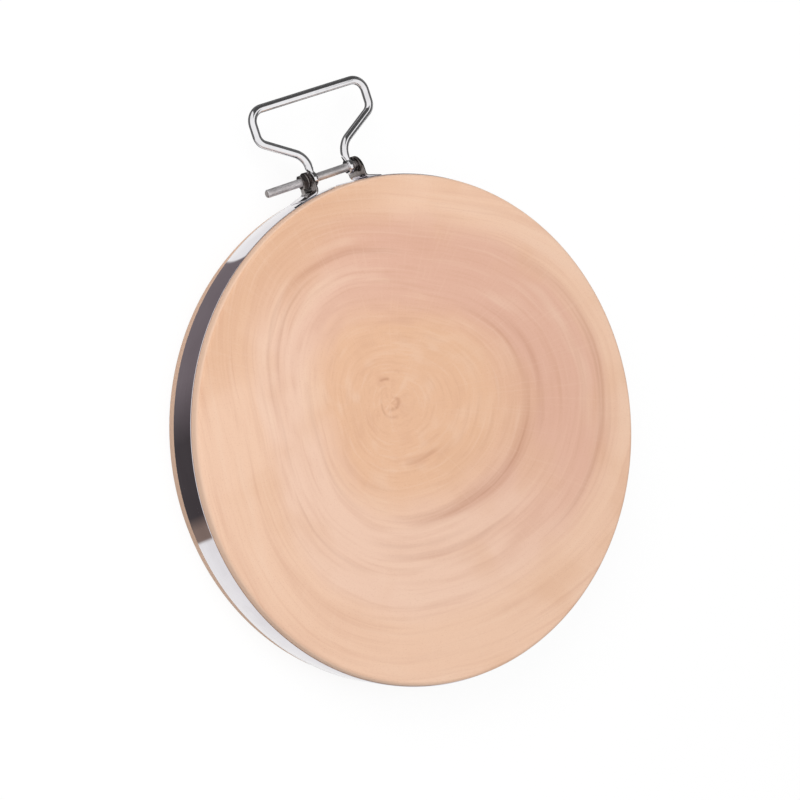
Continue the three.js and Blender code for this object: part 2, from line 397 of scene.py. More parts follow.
class NodeGraph:
    """Nodes of one material or world, with places in millimetres."""

    MIX_FACTOR = 0
    MIX_A = 6
    MIX_B = 7
    MIX_RESULT = 2
    NOISE_VALUE = 0
    NOISE_COLOUR = 1
    NOISE_MIDDLE = 0.5
    LENGTHS = ("DOT_PRODUCT", "LENGTH")

    def __init__(
        self, owner: bpy.types.Material | bpy.types.World, shader: str = "Principled BSDF"
    ) -> None:
        """Open the nodes of a new material or world.

        Args:
            owner: The material or world.
            shader: Name of its shader node.
        """
        owner.use_nodes = True
        self.owner = owner
        self.tree = owner.node_tree
        self.shader = self.tree.nodes[shader]

    @cached_property
    def place(self) -> Socket:
        """Object coordinates in millimetres."""
        return self.scaled(self.add("ShaderNodeTexCoord").outputs["Object"], (1 / MM,) * 3)

    def add(self, kind: str, **settings: Any) -> bpy.types.Node:
        """Add a node and set its options."""
        node = self.tree.nodes.new(kind)
        for key, value in settings.items():
            setattr(node, key, value)
        return node

    def feed(self, target: Socket, value: Any) -> None:
        """Link a socket, or set it where the value is plain, with a colour as three numbers."""
        if isinstance(value, bpy.types.NodeSocket):
            self.tree.links.new(value, target)
        else:
            target.default_value = (*value, 1.0) if target.type == "RGBA" else value

    def fill(self, node: bpy.types.Node, **values: Any) -> None:
        """Feed a node's inputs, named with underscores for spaces."""
        for key, value in values.items():
            self.feed(node.inputs[key.replace("_", " ")], value)

    def math(self, operation: str, *values: Any, clamp: bool = False) -> Socket:
        """Work out a number.

        Args:
            operation: Blender's name of the operation.
            *values: Numbers or sockets, in order.
            clamp: Keep the result between 0 and 1.

        Returns:
            The result's socket.
        """
        node = self.add("ShaderNodeMath", operation=operation, use_clamp=clamp)
        for socket, value in zip(node.inputs, values):
            self.feed(socket, value)
        return node.outputs["Value"]

    def vector(self, operation: str, *values: Any) -> Socket:
        """Work out a vector, or a number for a product or a length.

        Args:
            operation: Blender's name of the operation.
            *values: Vectors or sockets, in order.

        Returns:
            The result's socket.
        """
        node = self.add("ShaderNodeVectorMath", operation=operation)
        for socket, value in zip(node.inputs, values):
            self.feed(socket, value)
        return node.outputs["Value" if operation in self.LENGTHS else "Vector"]

    def scaled(self, vector: Socket, factors: Triple) -> Socket:
        """Stretch a vector along its axes."""
        return self.vector("MULTIPLY", vector, factors)

    def upright(self, height: Socket) -> Socket:
        """Make an upright vector of a given length."""
        node = self.add("ShaderNodeCombineXYZ")
        self.fill(node, Z=height)
        return node.outputs["Vector"]

    def towards(self, vector: Socket, heading: float) -> Socket:
        """Part of a vector along a level heading from +X, in radians."""
        return self.vector("DOT_PRODUCT", vector, outwards(heading))

    def level_length(self, vector: Socket) -> Socket:
        """Length of a vector as seen from above."""
        return self.vector("LENGTH", self.scaled(vector, (1, 1, 0)))

    def noise(
        self, vector: Socket, detail: float = 2.0, roughness: float = 0.5, output: int = NOISE_VALUE
    ) -> Socket:
        """Smooth noise with one cycle for each unit of the vector.

        Args:
            vector: Place in the noise.
            detail: Number of finer layers.
            roughness: Share of each finer layer.
            output: Which of the node's outputs to take.

        Returns:
            A number about 0.5, or three separate ones as a colour.
        """
        node = self.add("ShaderNodeTexNoise")
        self.fill(node, Vector=vector, Scale=1.0, Detail=detail, Roughness=roughness)
        return node.outputs[output]

    def ease(self, value: Socket, low: float, high: float) -> Socket:
        """Go smoothly from 0 at the low value to 1 at the high one."""
        node = self.add("ShaderNodeMapRange", interpolation_type="SMOOTHSTEP")
        self.fill(node, Value=value, From_Min=low, From_Max=high)
        return node.outputs["Result"]

    def rise(self, value: Socket, low: float, high: float, most: float) -> Socket:
        """Go smoothly from 0 at the low value to the most at the high one."""
        return self.math("MULTIPLY", self.ease(value, low, high), most)

    def spread(self, value: Socket, low: float, high: float) -> Socket:
        """Go evenly from the low value, where the number is 0, to the high one at 1."""
        node = self.add("ShaderNodeMapRange")
        self.fill(node, Value=value, To_Min=low, To_Max=high)
        return node.outputs["Result"]

    def blurred(self, value: Socket, noise: Socket, amount: float) -> Socket:
        """Shift a value by noise, up to half of an amount either way."""
        lowest = self.math("ADD", value, -amount * self.NOISE_MIDDLE)
        return self.math("MULTIPLY_ADD", noise, amount, lowest)

    def mix(self, share: Any, first: Any, second: Any) -> Socket:
        """Blend two colours.

        Args:
            share: Share of the second colour.
            first: Colour or socket.
            second: Colour or socket.

        Returns:
            The blended colour's socket.
        """
        node = self.add("ShaderNodeMix", data_type="RGBA")
        for index, value in ((self.MIX_FACTOR, share), (self.MIX_A, first), (self.MIX_B, second)):
            self.feed(node.inputs[index], value)
        return node.outputs[self.MIX_RESULT]

    def ramp(self, value: Socket, stops: Sequence[tuple[float, Colour]]) -> Socket:
        """Go through a row of colours.

        Args:
            value: Place in the row, from 0 to 1.
            stops: Pairs of place and colour, from 0 to 1 in order.

        Returns:
            The colour's socket.
        """
        node = self.add("ShaderNodeValToRGB")
        self.fill(node, Fac=value)
        elements = node.color_ramp.elements
        for place, _ in stops[1:-1]:
            elements.new(place)
        for element, (_, colour) in zip(elements, stops):
            element.color = (*colour, 1.0)
        return node.outputs["Color"]

    def bump(self, height: Socket, distance: float, strength: float) -> None:
        """Raise the surface by a height, at most by the distance in metres."""
        node = self.add("ShaderNodeBump")
        self.fill(node, Strength=strength, Distance=distance, Height=height)
        self.shade(Normal=node.outputs["Normal"])

    def shade(self, **values: Any) -> None:
        """Feed the shader's own sockets."""
        self.fill(self.shader, **values)


@dataclass(frozen=True)
class RingLobe:
    """A regular departure of the growth rings from a circle.

    The lobes are counted round the pith from a heading in degrees, and the share is of the ring's size.
    """

    count: int
    share: float
    heading: float


class LogRings:
    """Growth rings of a log, as nodes that give each point its ring and its bearing from the pith."""

    def __init__(self, graph: NodeGraph, from_pith: Socket, lobes: Sequence[RingLobe]) -> None:
        """Number the rings by an even distance from the pith.

        Args:
            graph: The material under way.
            from_pith: Each point's place from the pith, in millimetres.
            lobes: The rings' departures from a circle.
        """
        self.graph = graph
        self.bearing = graph.vector("NORMALIZE", from_pith)
        self.ring = graph.math("DIVIDE", graph.vector("LENGTH", from_pith), self.stretch(lobes))

    def stretch(self, lobes: Sequence[RingLobe]) -> Socket:
        """Size of a lobed ring along the bearing, as a share of its even size.

        Args:
            lobes: The ring's departures from a circle.

        Returns:
            A number about 1.
        """
        size: Any = 1.0
        for lobe in lobes:
            lean = self.graph.towards(self.bearing, math.radians(lobe.heading))
            turns = self.graph.math("MULTIPLY", self.graph.math("ARCCOSINE", lean), lobe.count)
            size = self.graph.math("MULTIPLY_ADD", self.graph.math("COSINE", turns), lobe.share, size)
        return size

    def streaks(self, spacing: float, turns: float) -> Socket:
        """Noise that is drawn out along the rings, or across them where it has many turns.

        Args:
            spacing: Distance between streaks along a radius.
            turns: Radius of the noise's path round the pith, in cycles.

        Returns:
            A number about 0.5.
        """
        around = self.graph.scaled(self.bearing, (turns, turns, 0.0))
        depth = self.graph.upright(self.graph.math("DIVIDE", self.ring, spacing))
        return self.graph.noise(self.graph.vector("ADD", around, depth))


@dataclass(frozen=True)
class GrowthArc:
    """A darker stretch of one growth ring, broken up by finer streaks.

    The ring is in millimetres from the pith, the heading and reach in degrees round it, and the breaks
    are the least and the greatest share of its depth.
    """

    ring: float
    width: float
    heading: float
    reach: float
    depth: float
    breaks: tuple[float, float] = (0.1, 1.9)

    def share(self, rings: LogRings, streaks: Socket) -> Socket:
        """Strength of the arc.

        Args:
            rings: The log's rings.
            streaks: Streaks that break the arc up.

        Returns:
            The arc's share of the colour.
        """
        graph = rings.graph
        off = graph.math("DIVIDE", graph.math("SUBTRACT", rings.ring, self.ring), self.width)
        across = graph.math("EXPONENT", graph.math("MULTIPLY", graph.math("MULTIPLY", off, off), -1.0))
        nearness = graph.towards(rings.bearing, math.radians(self.heading))
        along = graph.ease(nearness, math.cos(math.radians(self.reach)), 1.0)
        weak, strong = (share * self.depth for share in self.breaks)
        broken = graph.math("MULTIPLY", along, graph.spread(streaks, weak, strong))
        return graph.math("MULTIPLY", across, broken, clamp=True)


class Grain(Enum):
    """Patterns of the wood that tint its colour."""

    CLOUDS = "clouds"
    BANDS = "bands"
    YEARS = "years"
    FINE = "fine"
    RAYS = "rays"
    PORES = "pores"


@dataclass(frozen=True)
class Tint:
    """A colour that comes in, up to a share, as a pattern goes from its start to its full value."""

    grain: Grain
    start: float
    full: float
    share: float
    colour: Colour

    def lay(self, graph: NodeGraph, grains: dict[Grain, Socket], ground: Socket) -> Socket:
        """Lay the tint over a ground colour."""
        share = graph.rise(grains[self.grain], self.start, self.full, self.share)
        return graph.mix(share, ground, self.colour)


@dataclass(frozen=True)
class EndGrainFinish:
    """Sanded end grain of one log slice, with its pith off the centre.

    Lengths are in millimetres, headings in degrees from +X, and lines in cycles for each millimetre along
    X, Y and Z. The warp and the ripple are waves, each with its length and its height.
    """

    rim_edge: tuple[float, float] = (149.0, 149.8)
    rim_share: float = 0.8
    pith: tuple[float, float] = (-19.4, 22.9)
    lobes: tuple[RingLobe, ...] = (
        RingLobe(count=1, share=0.247, heading=-22.0),
        RingLobe(count=2, share=0.064, heading=-32.0),
        RingLobe(count=3, share=0.074, heading=-10.0),
    )
    warp: tuple[float, float] = (90.0, 7.0)
    ripple: tuple[float, float] = (24.0, 1.8)
    wave_rise: float = 0.1
    streak_turns: float = 1.7
    ring_spacing: float = 1.9
    year_spacing: float = 5.5
    band_spacing: float = 14.0
    cloud_lines: Triple = (0.022, 0.022, 0.004)
    pore_lines: Triple = (1.7, 1.7, 0.03)
    pore_detail: float = 1.0
    ray_turns: float = 70.0
    ray_length: float = 26.0
    edge_blur: float = 26.0
    core_edge: tuple[float, float] = (78.0, 44.0)
    sap_edge: tuple[float, float] = (110.0, 128.0)
    sap_lobes: tuple[RingLobe, ...] = (RingLobe(count=2, share=0.055, heading=85.0),)
    dark_side: float = 32.0
    dark_blur: float = 50.0
    dark_reach: tuple[float, float] = (-45.0, 70.0)
    honey_side: float = 115.0
    honey_reach: tuple[float, float] = (98.0, 142.0)
    honey_share: float = 0.8
    ring_depth: float = 0.5
    pore_depth: float = 0.6
    relief: float = 0.1
    relief_strength: float = 0.5
    roughness: tuple[float, float] = (0.46, 0.68)
    sheen: float = 0.25
    core: Colour = srgb(232, 187, 154)
    heart_light: Colour = srgb(238, 201, 178)
    heart_dark: Colour = srgb(226, 180, 158)
    sap: Colour = srgb(238, 199, 172)
    honey: Colour = srgb(225, 180, 147)
    pale: Colour = srgb(241, 208, 184)
    streak: Colour = srgb(205, 152, 124)
    arc: Colour = srgb(172, 112, 86)
    rim: Colour = srgb(240, 204, 179)
    cloud_tint: Tint = Tint(Grain.CLOUDS, start=0.50, full=0.72, share=0.40, colour=honey)
    ring_tints: tuple[Tint, ...] = (
        Tint(Grain.BANDS, start=0.52, full=0.78, share=0.18, colour=streak),
        Tint(Grain.BANDS, start=0.48, full=0.24, share=0.40, colour=pale),
        Tint(Grain.YEARS, start=0.52, full=0.76, share=0.18, colour=streak),
        Tint(Grain.FINE, start=0.50, full=0.76, share=0.16, colour=streak),
        Tint(Grain.FINE, start=0.46, full=0.24, share=0.22, colour=pale),
    )
    cross_tints: tuple[Tint, ...] = (
        Tint(Grain.RAYS, start=0.54, full=0.72, share=0.11, colour=pale),
        Tint(Grain.PORES, start=0.58, full=0.74, share=0.36, colour=streak),
    )
    arcs: tuple[GrowthArc, ...] = (
        GrowthArc(ring=71.4, width=3.5, heading=-60.0, reach=46.0, depth=0.34),
        GrowthArc(ring=68.0, width=2.0, heading=-80.0, reach=36.0, depth=0.18),
        GrowthArc(ring=78.0, width=2.2, heading=-4.0, reach=30.0, depth=0.16),
        GrowthArc(ring=71.0, width=2.4, heading=-4.0, reach=40.0, depth=0.13),
        GrowthArc(ring=70.0, width=2.0, heading=-168.0, reach=52.0, depth=0.13),
        GrowthArc(ring=90.3, width=2.2, heading=-86.0, reach=34.0, depth=0.22),
        GrowthArc(ring=84.0, width=1.8, heading=-96.0, reach=30.0, depth=0.14),
        GrowthArc(ring=112.5, width=1.9, heading=-24.0, reach=34.0, depth=0.26),
        GrowthArc(ring=113.5, width=2.6, heading=6.0, reach=28.0, depth=0.14),
        GrowthArc(ring=98.5, width=2.4, heading=91.0, reach=30.0, depth=0.28),
        GrowthArc(ring=93.5, width=2.0, heading=130.0, reach=30.0, depth=0.18),
        GrowthArc(ring=101.0, width=1.8, heading=140.0, reach=32.0, depth=0.16),
        GrowthArc(ring=98.0, width=1.6, heading=170.0, reach=30.0, depth=0.12),
        GrowthArc(ring=102.0, width=1.4, heading=-138.0, reach=26.0, depth=0.12),
        GrowthArc(ring=35.3, width=1.9, heading=-76.0, reach=22.0, depth=0.24),
        GrowthArc(ring=15.7, width=1.2, heading=88.0, reach=16.0, depth=0.42),
        GrowthArc(ring=8.0, width=0.9, heading=-150.0, reach=110.0, depth=0.22),
        GrowthArc(ring=4.0, width=1.0, heading=-40.0, reach=120.0, depth=0.34),
    )

    def material(self) -> bpy.types.Material:
        """Make the material.

        Returns:
            The finished material.
        """
        graph = NodeGraph(bpy.data.materials.new("end_grain_wood"))
        rings = self._rings(graph)
        pores = graph.noise(graph.scaled(graph.place, self.pore_lines), detail=self.pore_detail)
        fine = rings.streaks(self.ring_spacing, self.streak_turns)
        grains = {
            Grain.CLOUDS: graph.noise(graph.scaled(graph.place, self.cloud_lines)),
            Grain.BANDS: rings.streaks(self.band_spacing, self.streak_turns),
            Grain.YEARS: rings.streaks(self.year_spacing, self.streak_turns),
            Grain.FINE: fine,
            Grain.RAYS: rings.streaks(self.ray_length, self.ray_turns),
            Grain.PORES: pores,
        }
        colour = self._zones(rings, grains)
        for tint in self.ring_tints:
            colour = tint.lay(graph, grains, colour)
        for arc in self.arcs:
            colour = graph.mix(arc.share(rings, fine), colour, self.arc)
        for tint in self.cross_tints:
            colour = tint.lay(graph, grains, colour)
        rim_share = graph.rise(graph.level_length(graph.place), *self.rim_edge, self.rim_share)
        colour = graph.mix(rim_share, colour, self.rim)
        sunk_pores = graph.math("MULTIPLY", pores, -self.pore_depth)
        height = graph.math("MULTIPLY_ADD", fine, -self.ring_depth, sunk_pores)
        graph.bump(height, distance=self.relief * MM, strength=self.relief_strength)
        roughness = graph.spread(fine, *self.roughness)
        graph.shade(Base_Color=colour, Roughness=roughness, Specular_IOR_Level=self.sheen)
        return graph.owner

    def _zones(self, rings: LogRings, grains: dict[Grain, Socket]) -> Socket:
        """Colour the core, the lopsided heartwood and the sapwood.

        Args:
            rings: The log's rings.
            grains: The wood's patterns, of which the bands blur the zones' edges.

        Returns:
            The colour.
        """
        graph, bands = rings.graph, grains[Grain.BANDS]
        across = graph.towards(graph.place, math.radians(self.dark_side))
        dark_share = graph.ease(graph.blurred(across, bands, self.dark_blur), *self.dark_reach)
        heart = graph.mix(dark_share, self.heart_light, self.heart_dark)
        edge = graph.blurred(rings.ring, bands, self.edge_blur)
        colour = graph.mix(graph.ease(edge, *self.core_edge), heart, self.core)
        sap_ring = graph.math("DIVIDE", edge, rings.stretch(self.sap_lobes))
        colour = graph.mix(graph.ease(sap_ring, *self.sap_edge), colour, self.sap)
        colour = self.cloud_tint.lay(graph, grains, colour)
        towards = graph.towards(graph.place, math.radians(self.honey_side))
        return graph.mix(graph.rise(towards, *self.honey_reach, self.honey_share), colour, self.honey)

    def _rings(self, graph: NodeGraph) -> LogRings:
        """Set the rings round the pith, with the waves of a log that grew unevenly.

        Args:
            graph: The material under way.

        Returns:
            The rings.
        """
        bent = graph.place
        for length, amount in (self.warp, self.ripple):
            scaled = graph.scaled(graph.place, (1 / length, 1 / length, self.wave_rise / length))
            waves = graph.noise(scaled, output=graph.NOISE_COLOUR)
            about_zero = graph.vector("SUBTRACT", waves, (graph.NOISE_MIDDLE,) * 3)
            bent = graph.vector("ADD", bent, graph.scaled(about_zero, (amount, amount, 0.0)))
        from_pith = graph.vector("SUBTRACT", graph.scaled(bent, (1, 1, 0)), (*self.pith, 0.0))
        return LogRings(graph, from_pith, self.lobes)


@dataclass(frozen=True)
class SteelFinish:
    """Bare steel: its colour, the spread of its gloss and the fine lines left by its making.

    Line scales are cycles for each millimetre along X, Y and Z.
    """

    name: str
    clean: Colour
    dull: Colour
    gloss: tuple[float, float]
    lines: Triple
    smear: float
    bump: float
    metallic: float = 1.0
    grit: float = 0.6
    smear_detail: float = 3.0
    line_share: float = 0.35
    wear: tuple[float, float] = (0.38, 0.66)
    bump_strength: float = 0.35

    def material(self) -> bpy.types.Material:
        """Make the material.

        Returns:
            The finished material.
        """
        graph = NodeGraph(bpy.data.materials.new(self.name))
        lines = graph.noise(graph.scaled(graph.place, self.lines), roughness=self.grit)
        smear_place = graph.scaled(graph.place, (self.smear,) * 3)
        smear = graph.noise(smear_place, detail=self.smear_detail, roughness=self.grit)
        smear_part = graph.math("MULTIPLY", smear, 1 - self.line_share)
        worn = graph.math("MULTIPLY_ADD", lines, self.line_share, smear_part)
        colour = graph.mix(graph.ease(worn, *self.wear), self.clean, self.dull)
        graph.bump(lines, distance=self.bump, strength=self.bump_strength)
        graph.shade(Base_Color=colour, Metallic=self.metallic, Roughness=graph.spread(worn, *self.gloss))
        return graph.owner


HOOP_STEEL = SteelFinish(
    name="polished_hoop", clean=srgb(222, 219, 223), dull=srgb(214, 210, 214),
    gloss=(0.03, 0.09), lines=(0.02, 0.02, 3.0), smear=0.05, bump=0.002 * MM,
)
WIRE_STEEL = SteelFinish(
    name="bail_wire", clean=srgb(238, 237, 239), dull=srgb(226, 225, 227),
    gloss=(0.04, 0.12), lines=(0.5, 0.12, 0.5), smear=0.1, bump=0.003 * MM,
)
# The ears' steel is darker than the hoop's: partly a rougher finish, partly painted shade that stands in
# for the dark reflections on the ears.
EAR_STEEL = SteelFinish(
    name="bent_ears", clean=srgb(146, 139, 137), dull=srgb(100, 95, 93),
    gloss=(0.12, 0.28), lines=(2.2, 0.12, 2.2), smear=0.15, bump=0.003 * MM,
)
FASTENER_STEEL = SteelFinish(
    name="fasteners", clean=srgb(234, 231, 232), dull=srgb(208, 204, 205), metallic=0.86,
    gloss=(0.36, 0.52), lines=(0.3, 1.6, 1.6), smear=0.2, bump=0.004 * MM,
)
# A darker copy of the fasteners' steel, for the nut, the washer and the end of the bolt's tail.
NUT_STEEL = SteelFinish(
    name="nut_steel", clean=srgb(158, 151, 149), dull=srgb(116, 110, 108),
    gloss=(0.22, 0.38), lines=(0.3, 1.6, 1.6), smear=0.2, bump=0.004 * MM,
)


def put_on(obj: bpy.types.Object, body: Body, node: str) -> None:
    """Let a finished piece stand for its node on its body.

    Args:
        obj: The finished piece.
        body: Body that it rides on.
        node: Node that it replaces.
    """
    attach(obj, body.value)
    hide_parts(node)
    LOG.info("%s: %d faces on body %s", obj.name, len(obj.data.polygons), body.value)


def dress(obj: bpy.types.Object, material: bpy.types.Material) -> None:
    """Give a piece one material all over."""
    obj.data.materials.clear()
    obj.data.materials.append(material)


STRIP_THICKNESS = 0.6 * MM
STRIP_FIT = 0.04 * MM


@dataclass
class ChoppingBlock:
    """The round wooden block, one slice across a log."""

    radius: float
    thickness: float
    seat_radius: float
    seat: tuple[float, float]
    edge_radius: float = 2.5 * MM
    sides: int = 240
    edge_steps: int = 7
    finish: EndGrainFinish = EndGrainFinish()

    @classmethod
    def from_frame(cls) -> ChoppingBlock:
        """Take the block's size from the frame, with its waist filling the hoop."""
        _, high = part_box("board_block")
        hoop_low, hoop_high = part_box("hoop_band")
        seat_radius = -hoop_low.y - STRIP_THICKNESS - STRIP_FIT
        return cls(high.y, high.z, seat_radius, seat=(hoop_low.z, hoop_high.z))

    def build(self) -> None:
        """Model the block with its margins drawn in to rounded rims and dress it."""
        low, high = self.seat
        block = Workpiece.rod("end_grain_block", self.seat_radius, (UP * low, UP * high), self.sides)
        draw_in = (self.radius / self.seat_radius, self.radius / self.seat_radius, 1.0)
        with block.editing():
            for way, margin in ((UP, self.thickness - high), (-UP, low)):
                block.pick(Element.FACE, facing(way))
                block.extrude(way * margin)
                block.resize(draw_in, ORIGIN)
            block.pick(Element.EDGE, self._is_rim)
            block.bevel(self.edge_radius, self.edge_steps)
        obj = block.finish()
        dress(obj, self.finish.material())
        put_on(obj, Body.BOARD, "board_block")

    def _is_rim(self, edge: Any) -> bool:
        """Tell the edges round the upper and the lower face."""
        heights = [vertex.co.z for vertex in edge.verts]
        return max(heights) < WELD_DISTANCE or min(heights) > self.thickness - WELD_DISTANCE


@dataclass
class ClampHoop:
    """The steel strip round the rim and the two bent ears on its ends."""

    outer_radius: float
    low: float
    high: float
    ear_inner_x: float
    ear_top_y: float
    ear_width: float
    bolt_axis: Vector
    thickness: float = STRIP_THICKNESS
    opening: float = 14 * MM
    lip_radius: float = 0.25 * MM
    lip_steps: int = 3
    steps: int = 240
    ear_thickness: float = 1.5 * MM
    ear_seat: float = 0.05 * MM
    ear_foot: float = 8 * MM
    ear_bend: float = 2 * MM
    ear_corner: float = 8 * MM
    ear_edge: float = 0.3 * MM
    ear_edge_steps: int = 2
    foot_fall: float = 1.0 * MM
    foot_steps: int = 4
    hole_radius: float = 2.7 * MM
    bend_steps: int = 10
    hole_sides: int = 48

    @classmethod
    def from_frame(cls) -> ClampHoop:
        """Take the hoop's and ears' places from the frame."""
        hoop_low, hoop_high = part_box("hoop_band")
        ear_low, ear_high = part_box("right_lug")
        bolt_low, bolt_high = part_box("clamp_bolt")
        return cls(
            outer_radius=-hoop_low.y,
            low=hoop_low.z,
            high=hoop_high.z,
            ear_inner_x=ear_low.x,
            ear_top_y=ear_high.y,
            ear_width=ear_high.z - ear_low.z,
            bolt_axis=(bolt_low + bolt_high) / 2,
        )

    @property
    def middle(self) -> float:
        """Height of the hoop's middle line."""
        return (self.low + self.high) / 2

    def build(self) -> None:
        """Model and dress the hoop and both ears."""
        hoop = self._hoop()
        polished = HOOP_STEEL.material()
        dress(hoop, polished)
        put_on(hoop, Body.BOARD, "hoop_band")
        right = self._ear()
        left = right.copy("left_ear")
        with left.editing():
            left.pick_all(Element.VERTEX)
            bpy.ops.transform.rotate(value=math.pi, orient_axis="Y", center_override=UP * self.middle)
        # The ears take the darker steel, which is partly painted shade.
        darkened_ear_steel = EAR_STEEL.material()
        for ear, node in ((right, "right_lug"), (left, "left_lug")):
            obj = ear.finish()
            dress(obj, darkened_ear_steel)
            ear.repaint(polished, self._is_foot)
            put_on(obj, Body.BOARD, node)

    def _is_foot(self, face: Any) -> bool:
        """Tell the ear's foot, which is welded on before the hoop is polished."""
        foot_top = self.outer_radius + self.ear_seat + self.ear_thickness
        return face.calc_center_median().xy.length < foot_top + self.ear_seat

    def _hoop(self) -> bpy.types.Object:
        """Spin the strip's rounded section round the rim, leaving the opening.

        Returns:
            The hoop.
        """
        half_opening = math.asin(self.opening / 2 / self.outer_radius)
        start = QUARTER_TURN + half_opening
        middle_radius = self.outer_radius - self.thickness / 2
        centre = outwards(start) * middle_radius + UP * self.middle
        size = (self.thickness, self.high - self.low)
        hoop = Workpiece.sheet_end("steel_hoop", size, centre, start)
        with hoop.editing():
            hoop.pick_all(Element.VERTEX)
            hoop.round_corners(self.lip_radius, self.lip_steps)
            hoop.pick_all(Element.FACE)
            hoop.spin(FULL_TURN - 2 * half_opening, ORIGIN, UP, self.steps)
            hoop.seal()
        return hoop.finish()

    def _ear(self) -> Workpiece:
        """Draw out the right ear: its foot on the hoop, its bend and its pierced plate.

        Returns:
            The right ear.
        """
        foot_radius = self.outer_radius + self.ear_seat
        foot_top = foot_radius + self.ear_thickness
        bend_x = self.ear_inner_x + self.ear_thickness + self.ear_bend
        bend_y = math.sqrt((foot_top + self.ear_bend) ** 2 - bend_x**2)
        root = math.atan2(bend_y, bend_x)
        foot_angle = self.ear_foot / foot_radius
        start = root - foot_angle
        centre = outwards(start) * (foot_radius + self.ear_thickness / 2) + UP * self.middle
        ear = Workpiece.sheet_end("right_ear", (self.ear_thickness, self.ear_width), centre, start)
        bend_centre = Vector((bend_x, bend_y, self.middle))
        with ear.editing():
            ear.pick_all(Element.FACE)
            ear.spin(foot_angle, ORIGIN, UP, self.foot_steps)
            ear.spin(-root, bend_centre, UP, self.bend_steps)
            ear.extrude(Vector((0, self.ear_top_y - bend_y, 0)))
            ear.seal()
            ear.pick(Element.EDGE, self._is_top_corner)
            ear.bevel(min(self.ear_corner, self.ear_width / 2), self.bend_steps)
            for step in range(self.foot_steps):
                share = step / self.foot_steps
                away = outwards(start + foot_angle * share)
                self._grind(ear, away * foot_top, away * self.foot_fall * (share - 1))
        half_reach = ALONG_X * (self.ear_inner_x / 2)
        hole_centre = Vector((self.ear_inner_x, self.bolt_axis.y, self.bolt_axis.z))
        ends = (hole_centre - half_reach, hole_centre + half_reach)
        ear.combine(Join.CUT, Workpiece.rod("ear_hole", self.hole_radius, ends, self.hole_sides))
        ear.ease_edges(self.ear_edge, self.ear_edge_steps)
        return ear

    def _grind(self, ear: Workpiece, place: Vector, move: Vector) -> None:
        """Move the foot's outer face at one place, so that it runs out into the hoop."""
        ear.pick(Element.VERTEX, lambda vertex: (vertex.co.xy - place.xy).length < self.ear_edge)
        bpy.ops.transform.translate(value=move)

    def _is_top_corner(self, edge: Any) -> bool:
        """Tell the two upper corners of the plate, which run through its thickness."""
        first, second = (vertex.co for vertex in edge.verts)
        at_top = min(first.y, second.y) > self.ear_top_y - self.ear_edge
        return at_top and abs(first.z - second.z) < self.ear_edge


